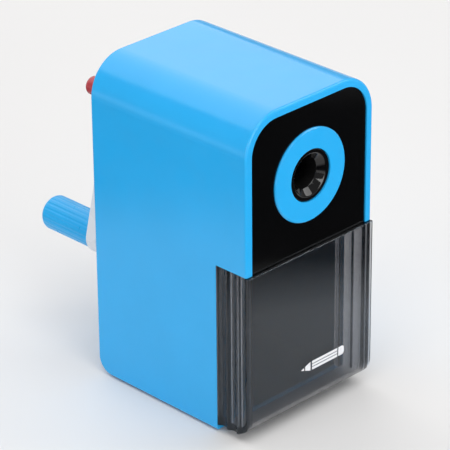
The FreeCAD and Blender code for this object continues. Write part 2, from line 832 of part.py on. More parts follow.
def cutter_axle():
    """The fixed axle: pressed into the carrier's rear disc, with a groove for its clip."""
    radius, thick = size("axle_radius").value, size("axle_clip_thick").value
    groove = radius * size("groove_share").value
    clip = axle_clip_start()
    front = clip - size("clip_groove").value - size("axle_clip_gap").value
    axle = cylinder_y(front, axle_rear(), radius)
    ring = cylinder_y(clip, clip + thick, radius * 2).cut(cylinder_y(clip, clip + thick, groove))
    add_shape("cutter_axle", axle.cut(ring), apex_placement(TILT.value))


def axle_rear():
    """The axle's rear end, in its seat in the carrier's rear disc."""
    seat = size("rear_disc_front").value + size("axle_seat").value
    return (seat - APEX_Y) / math.cos(math.radians(TILT.value))


def axle_clip_start():
    """The clip's front face, just in front of the pinion."""
    front = -PINION_MID - size("gear_face").value / 2
    return front - size("axle_clip_gap").value - size("axle_clip_thick").value


def axle_clip():
    start, thick, radius = axle_clip_start(), size("axle_clip_thick").value, size("axle_radius").value
    ring = cylinder_y(start, start + thick, radius * size("clip_reach").value)
    hole = cylinder_y(start - thick, start + thick * 2, radius * size("groove_share").value)
    half_gap = radius * 0.5
    reach = radius * 3
    corner = FreeCAD.Vector(-half_gap, start - thick, -reach)
    gap = Part.makeBox(half_gap * 2, thick * 3, reach, corner)
    add_shape("axle_clip", ring.cut(hole).cut(gap), apex_placement(TILT.value))


def cutter_carrier():
    """The casting that turns with the crank: two discs, two bridges and the shaft's hub."""
    body = new_body("carrier_casting", axis_line=True)
    NODES.remove(body)
    front_end = DISC_FRONT + size("disc_thick")
    rear = size("rear_disc_front")
    turn(body, tube(DISC_FRONT, front_end, GUIDE_RADIUS, size("barrel_bore") - RUN))
    overlap = size("disc_gap")
    pad_y(body, draw_bridges, front_end - overlap, rear + overlap)
    rod, shaft, hub = size("rod_radius") + RUN, size("shaft_radius"), size("hub_radius")
    turn(body, [(rear, rod), (SHAFT_START, rod), (SHAFT_START, shaft), (HUB_END, shaft), (HUB_END, hub),
                (REAR_DISC_END, hub), (REAR_DISC_END, size("rear_disc_radius")),
                (rear, size("rear_disc_radius"))])
    doc.recompute()
    sleeve_end = -APEX_Y + rear.value - size("rear_disc_thick").value
    sleeve_hole = cylinder_y(-APEX_Y, sleeve_end, size("sleeve_radius").value + RUN.value)
    axle_hole = cylinder_y(-APEX_Y, axle_rear(), size("axle_radius").value)
    tool = doc.addObject("Part::Feature", "axle_bores")
    tool.Shape = sleeve_hole.fuse(axle_hole)
    tool.Placement = apex_placement(TILT.value)
    carrier = doc.addObject("Part::Cut", "cutter_carrier")
    carrier.Label = "cutter_carrier"
    carrier.Base = body
    carrier.Tool = tool
    NODES.append(carrier)


def draw_bridges(sketch):
    for side in (1, -1):
        ends = sorted([size("bridge_inner") * side, size("bridge_outer") * side], key=lambda s: s.value)
        add_box(sketch, ends[0], -size("bridge_low"), ends[1], size("bridge_high"))


# ---------------------------------------------------------------- shaft line

def shaft_end():
    return DEPTH + size("arm_hub_end") - size("neck_depth")


def clip_place():
    return PLATE_BOSS_END + FIT * 3


def crank_shaft():
    """The hollow shaft, with a groove for its clip behind the bearing."""
    radius, bore = size("shaft_radius"), size("rod_radius") + RUN
    groove, start, thick = radius - size("clip_groove"), clip_place(), size("clip_thick")
    turned_piece("crank_shaft", [
        (SHAFT_START, bore), (shaft_end(), bore), (shaft_end(), radius), (start + thick, radius),
        (start + thick, groove), (start, groove), (start, radius), (SHAFT_START, radius)])


def shaft_clip():
    """A C-shaped clip in the shaft's groove."""
    start, radius = clip_place(), size("shaft_radius")
    end = start + size("clip_thick")
    inner, outer = radius - size("clip_groove"), radius + size("clip_wall")
    body = turned_piece("shaft_clip", tube(start, end, inner, outer))
    gap = radius * 0.6
    cut_y(body, lambda s: add_box(s, -gap, -radius * 3, gap, ZERO), start - 1.0, end + 1.0)


def thrust_washer():
    start = HUB_END + RUN
    end = size("barrel_end") - size("bush_flange_thick") - RUN
    turned_piece("thrust_washer", tube(start, end, size("shaft_radius") + RUN, size("bush_flange")))


def stop_rod():
    """The rod inside the shaft that sets how far the lead can go."""
    start = size("stop_front") + size("stop_length")
    end = DEPTH + size("arm_hub_end") + 1.0
    turned_piece("stop_rod", [(start, ZERO), (end, ZERO), (end, size("rod_radius")),
                              (start, size("rod_radius"))])


def stop_tip():
    """The half-round nose that the lead touches, on the side away from the cutter."""
    body = turned_piece("stop_tip", [
        (size("stop_front"), ZERO), (size("stop_front") + size("stop_length"), ZERO),
        (size("stop_front") + size("stop_length"), size("rod_radius")),
        (size("stop_front"), size("rod_radius") - 0.3)])
    reach = size("rod_radius") * 2
    cut_y(body, lambda s: add_box(s, -reach, -FIT, reach, reach), size("stop_front") - 1.0,
          size("rear_disc_front") - 1.0)


# ---------------------------------------------------------------- crank

def crank_arm():
    """The arm: a long hub on the shaft, a flat arm with round ends and the knob's socket."""
    body = new_body("crank_arm", axis_line=True)
    turn_with_arm(body)
    start, end = DEPTH + size("arm_hub_start"), DEPTH + size("arm_hub_end")
    turn(body, tube(start, end, size("shaft_radius"), size("arm_hub_radius")))
    arm_front = DEPTH + size("arm_start")
    arm_back = arm_front + size("arm_thick")
    foot = size("arm_length")
    pad_y(body, lambda s: add_box(s, -size("arm_half_width"), -foot, size("arm_half_width"),
                                  -size("arm_hub_radius") * 0.7), arm_front, arm_back)
    pad_y(body, lambda s: add_circle(s, ZERO, -foot, size("arm_half_width")), arm_front, arm_back)
    cut_y(body, lambda s: add_circle(s, ZERO, -foot, size("pin_radius")), arm_front - 1.0, arm_back + 1.0)
    cut_y(body, lambda s: add_circle(s, ZERO, -foot, size("pin_head")), arm_front - 1.0,
          arm_front + pin_head_thick())
    socket = size("neck_radius")
    turn(body, [(shaft_end(), ZERO), (end + 1.0, ZERO), (end + 1.0, socket), (shaft_end(), socket)],
         "PartDesign::Groove")
    turn(body, tube(snap_start() - 0.1, snap_start() + 1.1, socket - 1.0, size("snap_groove")),
         "PartDesign::Groove")
    cut_z(body, lambda s: add_circle(s, ZERO, screw_place(), size("rear_screw")), ZERO,
          size("arm_hub_radius") + 1.0)


def turn_with_arm(piece):
    """Turn a crank piece from straight down to the arm's rest angle."""
    turn_by = FreeCAD.Rotation(FreeCAD.Vector(0, 1, 0), size("arm_angle").value)
    piece.Placement.Rotation = turn_by
    piece.setExpression("Placement.Rotation.Angle", size("arm_angle").text)


def pin_head_thick():
    return size("arm_thick") * 0.4


def snap_start():
    return shaft_end() + 2.5


def screw_place():
    return DEPTH + size("arm_hub_start") + 4.0


def arm_screw():
    """The grub screw that clamps the arm's hub on the shaft."""
    body = new_body("arm_screw", axis_line=True)
    turn_with_arm(body)
    length = size("arm_hub_radius") - 0.3
    pad_z(body, lambda s: add_circle(s, ZERO, screw_place(), size("rear_screw")), size("shaft_radius"),
          length)
    slot = size("rear_screw") * 0.25
    cut_z(body, lambda s: add_box(s, -HALF_WIDTH, screw_place() - slot, HALF_WIDTH, screw_place() + slot),
          length - 0.9, length + 1.0)


def handle_piece(label, corners):
    """A turned piece on the handle's own axis."""
    body = new_body(label)
    reach, angle = size("arm_length"), size("arm_angle")
    place(body, -(reach * sine(angle)), FRONT_Y, AXIS - reach * cosine(angle))
    turn(body, corners)
    return body


def handle_pin():
    """The headed pin, riveted in the arm, that the grip turns on."""
    front = DEPTH + size("arm_start")
    handle_piece("handle_pin", [
        (front, ZERO), (pin_end(), ZERO), (pin_end(), size("pin_radius")),
        (front + pin_head_thick(), size("pin_radius")), (front + pin_head_thick(), size("pin_head")),
        (front, size("pin_head"))])


def pin_end():
    return DEPTH + size("handle_end") - size("cap_thick") - 0.6


def push_nut():
    """The spring nut on the pin's end that keeps the grip on."""
    end, thick = pin_end() - FIT * 3, size("axle_clip_thick")
    handle_piece("push_nut", [
        (end - thick, size("pin_radius")), (end, size("pin_radius")), (end, size("pin_radius") + thick),
        (end - thick / 2, size("push_nut")), (end - thick, size("push_nut"))])


def grip_start():
    return DEPTH + size("arm_start") + size("arm_thick") + size("handle_gap")


def handle_grip():
    """The grip, with a recess for the push nut and shallow flutes along it."""
    end = DEPTH + size("handle_end")
    radius, bore = size("handle_radius"), size("pin_radius") + RUN
    recess = pin_end() - 1.3
    body = handle_piece("handle_grip", [
        (grip_start(), bore), (recess, bore), (recess, size("cap_radius")), (end, size("cap_radius")),
        (end, radius), (grip_start(), radius)])
    round_edges(body, "Fillet", size("handle_round"),
                lambda e: is_rim(e, end.value, radius.value))
    round_edges(body, "Fillet", size("handle_round") * 0.2,
                lambda e: is_rim(e, grip_start().value, radius.value))
    flute, depth = size("handle_flute_radius"), size("handle_flute_depth")
    groove = cut_y(body, lambda s: add_circle(s, ZERO, radius + flute - depth, flute), grip_start() - 1.0,
                   end - size("handle_round") * 0.6)
    ring_pattern(body, groove, size("handle_flutes"))


def is_rim(edge, y, radius):
    """A full circle of the given radius at one place along the axis."""
    curve = edge.Curve
    return isinstance(curve, Part.Circle) and abs(curve.Radius - radius) < 0.01 and runs_through(edge, y=y)


def handle_cap():
    """The plug that closes the grip's recess."""
    end = DEPTH + size("handle_end")
    handle_piece("handle_cap", [
        (end - size("cap_thick"), ZERO), (end - 0.1, ZERO), (end - 0.1, size("cap_radius")),
        (end - size("cap_thick"), size("cap_radius"))])


def adjuster_knob():
    """The point adjuster: a neck in the arm's socket, a ribbed skirt and a domed nose."""
    neck, bore = size("neck_radius") - RUN, size("rod_radius") + RUN
    hub_end = DEPTH + size("arm_hub_end")
    start = shaft_end() + 0.2
    skirt = hub_end + 0.3
    skirt_end = skirt + size("knob_skirt_thick")
    end = DEPTH + size("knob_end")
    rod_room = hub_end + 3.0
    groove = neck - 1.0
    body = turned_piece("adjuster_knob", [
        (start, bore), (rod_room, bore), (rod_room, ZERO), (end, ZERO), (end, size("knob_nose")),
        (skirt_end, size("knob_nose")), (skirt_end, size("knob_skirt")), (skirt, size("knob_skirt")),
        (skirt, neck), (snap_start() + 1.0, neck), (snap_start() + 1.0, groove), (snap_start(), groove),
        (snap_start(), neck), (start, neck)])
    round_edges(body, "Fillet", size("knob_dome"), lambda e: is_rim(e, end.value, size("knob_nose").value))
    rib = cut_y(body, lambda s: add_circle(s, ZERO, size("knob_skirt") + 0.4, as_size(0.8)), skirt - 0.1,
                skirt_end + 0.1)
    ring_pattern(body, rib, as_size(18))


def snap_ring():
    """The C ring that keeps the knob in its socket."""
    start = snap_start()
    neck = size("neck_radius") - RUN
    body = turned_piece("snap_ring", tube(start + 0.1, start + 0.9, neck - 1.0, size("snap_groove") - 0.2))
    gap = size("neck_radius") * 0.4
    cut_y(body, lambda s: add_box(s, -gap, -size("neck_radius") * 2, gap, ZERO), start - 1.0, start + 2.0)


# ---------------------------------------------------------------- drawer

def drawer_bin():
    """The clear drawer: a fluted head that fills the notch and a bin behind it."""
    body = new_body("drawer_bin")
    front = -size("drawer_proud")
    low, floor = size("drawer_lift"), size("drawer_lift") + size("drawer_wall")
    head_back, head_top = size("notch_depth") - FIT * 2, NOTCH_TOP - FIT * 2
    bin_half, bin_top = INNER_HALF - size("bin_gap"), NOTCH_TOP - size("bin_gap") * 3
    bin_end = BACK_WALL - size("bin_room")
    pad_z(body, lambda s: add_box(s, -HALF_WIDTH, front, HALF_WIDTH, head_back), low, head_top)
    pad_z(body, lambda s: add_box(s, -bin_half, head_back - 1.0, bin_half, bin_end), low, bin_top)
    round_edges(body, "Fillet", size("drawer_corner"),
                lambda e: runs_through(e, y=front.value, z=low.value))
    round_edges(body, "Fillet", size("drawer_edge"), lambda e: runs_through(e, y=front.value))
    wall = size("head_wall")
    inner_front = front + wall
    cut_z(body, lambda s: add_box(s, wall - HALF_WIDTH, inner_front, HALF_WIDTH - wall, head_back - wall),
          floor, head_top + 1.0)
    bin_wall = size("drawer_wall")
    cut_z(body, lambda s: add_box(s, bin_wall - bin_half, inner_front, bin_half - bin_wall,
                                  bin_end - bin_wall), floor, head_top + 1.0)
    round_edges(body, "Fillet", size("drawer_corner") - wall,
                lambda e: runs_through(e, y=inner_front.value, z=floor.value))
    flutes = cut_z(body, draw_drawer_flutes, low - 1.0, head_top + 1.0)
    mirror_x(body, flutes)


def draw_drawer_flutes(sketch):
    """Hollow flutes side by side down one side of the drawer's head."""
    land = size("drawer_land")
    front, back = land - size("drawer_proud"), size("notch_depth") - FIT * 2
    count = size("drawer_flutes")
    pitch = (back - front) / count
    half = pitch / 2 - land / 3
    depth = size("drawer_flute_depth")
    radius = (half * half + depth * depth) / (depth * 2)
    for index in range(int(count.value)):
        add_circle(sketch, HALF_WIDTH - depth + radius, front + pitch * (index + 0.5), radius)


# ---------------------------------------------------------------- build, check and write

def build():
    shell()
    base_pad()
    front_panel()
    front_ring()
    entry_bezel()
    gear_barrel()
    rear_bearing_plate()
    plate_screws()
    rear_screws()
    rear_bush()
    rear_collar()
    chute_deck()
    ring_gear()
    cutter_carrier()
    helical_cutter()
    cutter_pinion()
    cutter_axle()
    axle_clip()
    crank_shaft()
    shaft_clip()
    thrust_washer()
    stop_rod()
    stop_tip()
    crank_arm()
    arm_screw()
    handle_pin()
    push_nut()
    handle_grip()
    handle_cap()
    adjuster_knob()
    snap_ring()
    drawer_bin()
    doc.recompute()


def check_and_write():
    for item in doc.Objects:
        if "Invalid" in item.State or "Error" in item.State:
            raise RuntimeError(f"{item.Label} did not build: {item.State}")
    for node in NODES:
        if node.Shape.isNull() or not node.Shape.isValid():
            raise RuntimeError(f"{node.Label} has no sound shape")
    os.makedirs("parts", exist_ok=True)
    for node in NODES:
        node.Shape.exportStep(f"parts/{node.Label}.step")
        box = node.Shape.BoundBox
        print(f"{node.Label}: {len(node.Shape.Solids)} solid, {node.Shape.Volume:.1f} mm3, "
              f"x {box.XMin:.2f} {box.XMax:.2f}, y {box.YMin:.2f} {box.YMax:.2f}, "
              f"z {box.ZMin:.2f} {box.ZMax:.2f}")


build()
check_and_write()
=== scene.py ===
"""Looks of a hand-crank desktop pencil sharpener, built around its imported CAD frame.

Units are metres, except where a name or a comment says mm. +Z is up, the pencil mouth and the
drawer face -Y, and the crank is at +Y.
"""
import json
import math

import bmesh
import bpy
from mathutils import Matrix, Vector


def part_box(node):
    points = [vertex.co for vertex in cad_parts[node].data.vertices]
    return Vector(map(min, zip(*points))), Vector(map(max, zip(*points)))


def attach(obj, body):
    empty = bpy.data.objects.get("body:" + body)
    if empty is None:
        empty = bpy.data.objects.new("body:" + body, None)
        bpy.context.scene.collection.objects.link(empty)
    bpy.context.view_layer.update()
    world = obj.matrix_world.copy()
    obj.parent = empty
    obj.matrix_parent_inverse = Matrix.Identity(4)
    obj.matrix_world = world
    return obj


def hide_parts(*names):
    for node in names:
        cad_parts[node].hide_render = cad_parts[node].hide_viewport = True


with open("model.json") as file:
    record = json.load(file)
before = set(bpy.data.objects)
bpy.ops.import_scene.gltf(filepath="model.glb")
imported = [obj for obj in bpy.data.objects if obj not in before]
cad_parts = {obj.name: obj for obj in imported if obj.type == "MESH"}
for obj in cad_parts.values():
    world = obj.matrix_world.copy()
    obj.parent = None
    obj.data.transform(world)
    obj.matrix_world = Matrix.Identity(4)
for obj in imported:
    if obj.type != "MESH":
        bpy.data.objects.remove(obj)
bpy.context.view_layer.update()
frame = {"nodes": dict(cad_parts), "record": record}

MM = 0.001
NODES = frame["nodes"]

# Camera: where it stands, and how far it turns from +Y, dips and rolls.
CAMERA_PLACE = Vector((-0.59765, -0.59688, 0.48792))
CAMERA_YAW = math.radians(44.878)
CAMERA_DIP = math.radians(26.870)
CAMERA_ROLL = math.radians(-0.519)
CAMERA_LENS_MM = 221.44
CAMERA_SENSOR_MM = 36.0
CAMERA_NEAR = 0.01

# Softboxes: width, height, place, and power in watts. They all face the middle of the shell.
LAMP_TARGET = Vector((0.0, 0.0, 0.06))
LAMPS = {
    "key": (1.4, 1.4, (-0.35, -0.5, 1.6), 14.0),
    "back": (2.6, 1.8, (0.3, 1.4, 1.15), 20.0),
    "front": (1.0, 0.7, (-0.25, -1.5, 0.4), 10.5),
    "side": (0.9, 0.7, (-1.4, 0.1, 0.4), 5.0),
    "edge": (0.8, 0.8, (1.0, -0.72, 1.07), 6.0),
}
SKY_COLOUR = (0.985, 0.99, 1.0, 1.0)
SKY_STRENGTH = 0.32
FLOOR_SIZE = 8.0
FLOOR_COLOURS = (0.765, 0.756, 0.750), (0.775, 0.766, 0.760)

# Dark ring on the floor: its centre, and the radii where it starts, is full, fades and ends.
FLAG_PLACE = (-0.020, 0.015, 0.002)
FLAG_START = 0.125
FLAG_FULL = 0.165
FLAG_FADE = 0.30
FLAG_RIM = 0.50
FLAG_COLOUR = (0.03, 0.03, 0.032, 1.0)

# Most of a noise texture's values lie between these two.
NOISE_LOW, NOISE_HIGH = 0.3, 0.7

# Least and most roughness of worn patches, as shares of the material's own.
PLASTIC_WEAR = (0.85, 1.2)
METAL_WEAR = (0.75, 1.35)

# Moulded plastics: colour, roughness, grain in cells per metre, the grain's depth in metres,
# specular level, and the share by which the colour swings either way.
PLASTICS = {
    "shell_blue": ((0.017, 0.385, 0.800), 0.20, 2600.0, 0.000012, 0.5, 0.025),
    "panel_black": ((0.0010, 0.0011, 0.0013), 0.08, 2200.0, 0.000006, 0.4, 0.2),
    "bezel_black": ((0.0015, 0.0015, 0.0018), 0.06, 2600.0, 0.000004, 0.5, 0.2),
    "handle_blue": ((0.014, 0.385, 0.79), 0.30, 3200.0, 0.00002, 0.4, 0.03),
    "arm_white": ((0.74, 0.76, 0.79), 0.28, 2800.0, 0.000015, 0.45, 0.02),
    "knob_red": ((0.45, 0.050, 0.060), 0.22, 2600.0, 0.00001, 0.5, 0.06),
    "chassis_grey": ((0.075, 0.078, 0.085), 0.5, 1800.0, 0.00005, 0.4, 0.1),
    "gear_nylon": ((0.66, 0.65, 0.60), 0.36, 1500.0, 0.00002, 0.4, 0.04),
}
BORE_BLACK = (0.002, 0.002, 0.002), 0.5, 1500.0, 0.00002, 0.1, 0.2

# Machined metals: colour, roughness, stretch of the turning lines, the share by which stains
# swing the colour, and the lines' depth in metres.
METALS = {
    "steel": ((0.56, 0.56, 0.58), 0.26, (1.0, 30.0, 1.0), 0.08, 0.00002),
    "cutter_steel": ((0.40, 0.40, 0.42), 0.30, (20.0, 1.0, 20.0), 0.08, 0.00002),
    "screw_steel": ((0.62, 0.62, 0.64), 0.22, (6.0, 6.0, 6.0), 0.08, 0.00002),
    "bush_brass": ((0.66, 0.46, 0.18), 0.25, (1.0, 30.0, 1.0), 0.08, 0.00002),
    "carrier_zinc": ((0.50, 0.51, 0.53), 0.42, (1.0, 1.0, 1.0), 0.1, 0.00005),
}

# Pencil mouth, in mm: radii, depths behind its front, and how far its flange's two faces stand
# before the end of the guide tube. The dull bore starts a little behind the throat. The
# last two lines are how far its corners are rounded.
MOUTH_EDGE, MOUTH_RIM, MOUTH_THROAT, MOUTH_BORE, MOUTH_GUIDE = 9.35, 7.7, 5.4, 4.3, 5.2
THROAT_DEPTH, CONE_DEPTH = 2.2, 5.6
FLANGE_FRONT, FLANGE_BACK = 4.25, 3.6
DULL_START = 0.15
LIP_ROUND, THROAT_ROUND, CONE_ROUND = 0.4, 0.2, 0.5
END_ROUND, FLANGE_ROUND, EDGE_ROUND = 0.2, 0.1, 0.45

# Printed pencil, in mm: where its point is, half its width, and how far from the point the
# lead, the cone, the barrel, the ferrule and the eraser's straight part reach.
MARK_POINT, MARK_HEIGHT, MARK_HALF = -5.0, 19.5, 1.7
MARK_REACHES = (1.5, 4.6, 5.4, 18.0, 20.6)
MARK_GAP = 0.55
MARK_CONE_STEP = 0.2
MARK_LINE_HALF = 0.15
ERASER_TIP, ERASER_TIP_SHARE = 0.7, 0.6
MARK_THICK = 0.04


# ---------------------------------------------------------------- shader helpers

class Shader:
    """One material's node tree, with the few nodes that every material here uses."""

    def __init__(self, name):
        self.material = bpy.data.materials.new(name)
        self.material.use_nodes = True
        self.tree = self.material.node_tree
        self.surface = self.tree.nodes["Principled BSDF"]
        self.output = self.tree.nodes["Material Output"]
        coordinates = self.tree.nodes.new("ShaderNodeTexCoord")
        self.place = coordinates.outputs["Object"]

    def add(self, kind, **settings):
        node = self.tree.nodes.new(kind)
        for key, value in settings.items():
            setattr(node, key, value)
        return node

    def link(self, source, target):
        self.tree.links.new(source, target)

    def set(self, **values):
        """Sets plain sockets of the main shader: names in lower case, with _ for a space."""
        sockets = {s.name.lower().replace(" ", "_"): s for s in self.surface.inputs}
        for key, value in values.items():
            sockets[key].default_value = value

    def noise(self, scale, detail, stretch=(1.0, 1.0, 1.0)):
        """Noise over the object, with scale in cells per metre."""
        mapping = self.add("ShaderNodeMapping")
        mapping.inputs["Scale"].default_value = stretch
        self.link(self.place, mapping.inputs["Vector"])
        noise = self.add("ShaderNodeTexNoise")
        noise.inputs["Scale"].default_value = scale
        noise.inputs["Detail"].default_value = detail
        self.link(mapping.outputs["Vector"], noise.inputs["Vector"])
        return noise.outputs["Fac"]

    def remap(self, value, low, high, start=NOISE_LOW, end=NOISE_HIGH):
        """A value between start and end, spread over low to high."""
        node = self.add("ShaderNodeMapRange")
        node.inputs["From Min"].default_value = start
        node.inputs["From Max"].default_value = end
        node.inputs["To Min"].default_value = low
        node.inputs["To Max"].default_value = high
        self.link(value, node.inputs["Value"])
        return node.outputs["Result"]

    def vary_colour(self, value, first, second):
        mix = self.add("ShaderNodeMix", data_type="RGBA")
        mix.inputs["A"].default_value = (*first, 1.0)
        mix.inputs["B"].default_value = (*second, 1.0)
        self.link(self.remap(value, 0.0, 1.0), mix.inputs["Factor"])
        self.link(mix.outputs["Result"], self.surface.inputs["Base Color"])

    def vary_roughness(self, value, low, high):
        self.link(self.remap(value, low, high), self.surface.inputs["Roughness"])

    def bump(self, value, depth, strength, under=None):
        """Raises the surface by value times depth, in metres, over an earlier bump."""
        node = self.add("ShaderNodeBump")
        node.inputs["Strength"].default_value = strength
        node.inputs["Distance"].default_value = depth
        self.link(value, node.inputs["Height"])
        if under is not None:
            self.link(under, node.inputs["Normal"])
        return node.outputs["Normal"]

    def use_normal(self, normal):
        self.link(normal, self.surface.inputs["Normal"])


def swung(colour, share):
    """The colour made darker and lighter by a share of itself."""
    return [tuple(min(c * factor, 1.0) for c in colour) for factor in (1.0 - share, 1.0 + share)]


# ---------------------------------------------------------------- materials

def moulded(name, colour, roughness, grain, grain_depth, specular, swing):
    """Moulded plastic: a slow drift of colour, worn gloss, flow waves and a fine grain."""
    shader = Shader(name)
    shader.set(roughness=roughness, specular_ior_level=specular)
    shader.vary_colour(shader.noise(scale=38.0, detail=3.0), *swung(colour, swing))
    wear = shader.noise(scale=160.0, detail=5.0)
    shader.vary_roughness(wear, *(roughness * share for share in PLASTIC_WEAR))
    waves = shader.bump(shader.noise(scale=55.0, detail=2.0), depth=0.00006, strength=0.5)
    fine = shader.noise(scale=grain, detail=2.0)
    shader.use_normal(shader.bump(fine, depth=grain_depth, strength=0.5, under=waves))
    return shader.material


def pad_rubber():
    """Rubber with a fine moulded crosshatch and dusty patches."""
    shader = Shader("pad_rubber")
    shader.set(roughness=0.8, specular_ior_level=0.25)
    dust = shader.noise(scale=120.0, detail=6.0)
    shader.vary_colour(dust, first=(0.018, 0.018, 0.019), second=(0.040, 0.040, 0.041))
    shader.vary_roughness(dust, low=0.72, high=0.92)
    weave = shader.add("ShaderNodeTexVoronoi", distance="CHEBYCHEV")
    weave.inputs["Scale"].default_value = 700.0
    weave.inputs["Randomness"].default_value = 0.0
    shader.link(shader.place, weave.inputs["Vector"])
    cells = shader.bump(weave.outputs["Distance"], depth=0.0002, strength=0.6)
    fine = shader.noise(scale=2500.0, detail=3.0)
    shader.use_normal(shader.bump(fine, depth=0.00005, strength=0.5, under=cells))
    return shader.material


def metal(name, colour, roughness, lines, stain, depth):
    """Machined metal: turning lines across its stretch, and slight staining."""
    shader = Shader(name)
    shader.set(metallic=1.0, roughness=roughness)
    shader.vary_colour(shader.noise(scale=180.0, detail=6.0), *swung(colour, stain))
    grooves = shader.noise(scale=420.0, detail=4.0, stretch=lines)
    shader.vary_roughness(grooves, *(roughness * share for share in METAL_WEAR))
    shader.use_normal(shader.bump(grooves, depth=depth, strength=0.6))
    return shader.material


def drawer_smoke():
    """Clear smoke-tinted plastic: its tint comes from how thick it is."""
    shader = Shader("drawer_smoke")
    shader.set(base_color=(0.93, 0.935, 0.95, 1.0), transmission_weight=1.0, ior=1.57,
               roughness=0.02, specular_ior_level=0.5, specular_tint=(0.78, 0.88, 1.0, 1.0))
    smudges = shader.noise(scale=60.0, detail=5.0)
    shader.vary_roughness(smudges, low=0.01, high=0.045)
    waves = shader.noise(scale=75.0, detail=1.0)
    shader.use_normal(shader.bump(waves, depth=0.00003, strength=0.35))
    tint = shader.add("ShaderNodeVolumeAbsorption")
    tint.inputs["Color"].default_value = (0.325, 0.335, 0.36, 1.0)
    tint.inputs["Density"].default_value = 370.0
    shader.link(tint.outputs["Volume"], shader.output.inputs["Volume"])
    return shader.material


def make_materials():
    """One material for each slot of the record."""
    made = {slot: moulded(slot, *look) for slot, look in PLASTICS.items()}
    made.update((slot, metal(slot, *look)) for slot, look in METALS.items())
    made["drawer_smoke"] = drawer_smoke()
    made["pad_rubber"] = pad_rubber()
    return made


def dress(materials):
    """Gives each CAD node the material of its slot."""
    for part in frame["record"]["subparts"]:
        for material_slot in NODES[part["node"]].material_slots:
            material_slot.material = materials[part["material_slot"]]


# ---------------------------------------------------------------- detailed pieces

def add_piece(name, shape, material, body, smooth=True):
    """Turns a bmesh into a piece that rides on a body."""
    bmesh.ops.recalc_face_normals(shape, faces=shape.faces)
    mesh = bpy.data.meshes.new(name)
    shape.to_mesh(mesh)
    shape.free()
    mesh.materials.append(material)
    for face in mesh.polygons:
        face.use_smooth = smooth
    piece = bpy.data.objects.new(name, mesh)
    bpy.context.scene.collection.objects.link(piece)
    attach(piece, body)
    return piece


def lathe(outline, height, segments=160):
    """A closed outline of (y, radius) corners in mm, turned round a line along Y.

    The line is over the Y axis, at a height in mm.
    """
    shape = bmesh.new()
    rings = []
    for y, radius in outline:
        ring = []
        for index in range(segments):
            angle = math.tau * index / segments
            x = radius * math.cos(angle)
            z = height + radius * math.sin(angle)
            ring.append(shape.verts.new((x * MM, y * MM, z * MM)))
        rings.append(ring)
    for first, second in zip(rings, rings[1:] + rings[:1]):
        for index in range(segments):
            after = (index + 1) % segments
            shape.faces.new((first[index], first[after], second[after], second[index]))
    return shape


def rounded(corners, steps=5):
    """An outline whose corners (y, radius, rounding) are rounded by that much, in mm."""
    outline = []
    count = len(corners)
    for index, (y, radius, rounding) in enumerate(corners):
        here = Vector((y, radius))
        if rounding == 0.0:
            outline.append(here)
            continue
        before = Vector(corners[index - 1][:2]) - here
        after = Vector(corners[(index + 1) % count][:2]) - here
        start = here + before.normalized() * rounding
        end = here + after.normalized() * rounding
        for step in range(steps + 1):
            share = step / steps
            first = start.lerp(here, share)
            second = here.lerp(end, share)
            outline.append(first.lerp(second, share))
    return outline


def entry_bezel(materials):
    """The pencil mouth: a rolled lip, a glossy cone, the guide tube and its flange."""
    low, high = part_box("entry_bezel")
    front, back = low[1] / MM, high[1] / MM
    height = (low[2] + high[2]) / 2.0 / MM
    flange = (high[0] - low[0]) / 2.0 / MM
    throat = front + THROAT_DEPTH
    outline = rounded([
        (front, MOUTH_RIM, LIP_ROUND),
        (throat, MOUTH_THROAT, THROAT_ROUND),
        (front + CONE_DEPTH, MOUTH_BORE, CONE_ROUND),
        (back, MOUTH_BORE, END_ROUND),
        (back, MOUTH_GUIDE, END_ROUND),
        (back - FLANGE_BACK, MOUTH_GUIDE, 0.0),
        (back - FLANGE_BACK, flange, FLANGE_ROUND),
        (back - FLANGE_FRONT, flange, FLANGE_ROUND),
        (back - FLANGE_FRONT, MOUTH_EDGE, 0.0),
        (front, MOUTH_EDGE, EDGE_ROUND),
    ])
    piece = add_piece("mouth_funnel", lathe(outline, height), materials["bezel_black"],
                      "housing")
    piece.data.materials.append(moulded("bore_black", *BORE_BLACK))
    for face in piece.data.polygons:
        if face.center.y > (throat + DULL_START) * MM:
            face.material_index = 1
    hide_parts("entry_bezel")


def raised_mark(shape, corners, front):
    """A flat raised shape on a face that looks to -Y: corners (x, z) in mm, counter-clockwise."""
    near = [shape.verts.new((x * MM, (front - MARK_THICK) * MM, z * MM)) for x, z in corners]
    far = [shape.verts.new((x * MM, front * MM, z * MM)) for x, z in corners]
    shape.faces.new(near)
    shape.faces.new(far[::-1])
    for index in range(len(corners)):
        after = (index + 1) % len(corners)
        shape.faces.new((near[after], near[index], far[index], far[after]))


def band(low_edge, high_edge):
    """Corners between a low and a high edge, each given from left to right as (x, z)."""
    return [*low_edge, *reversed(high_edge)]


def mirrored(edge):
    """Corners of a shape that reaches as far below the pencil's middle as above it."""
    return band([(x, MARK_HEIGHT - reach) for x, reach in edge],
                [(x, MARK_HEIGHT + reach) for x, reach in edge])


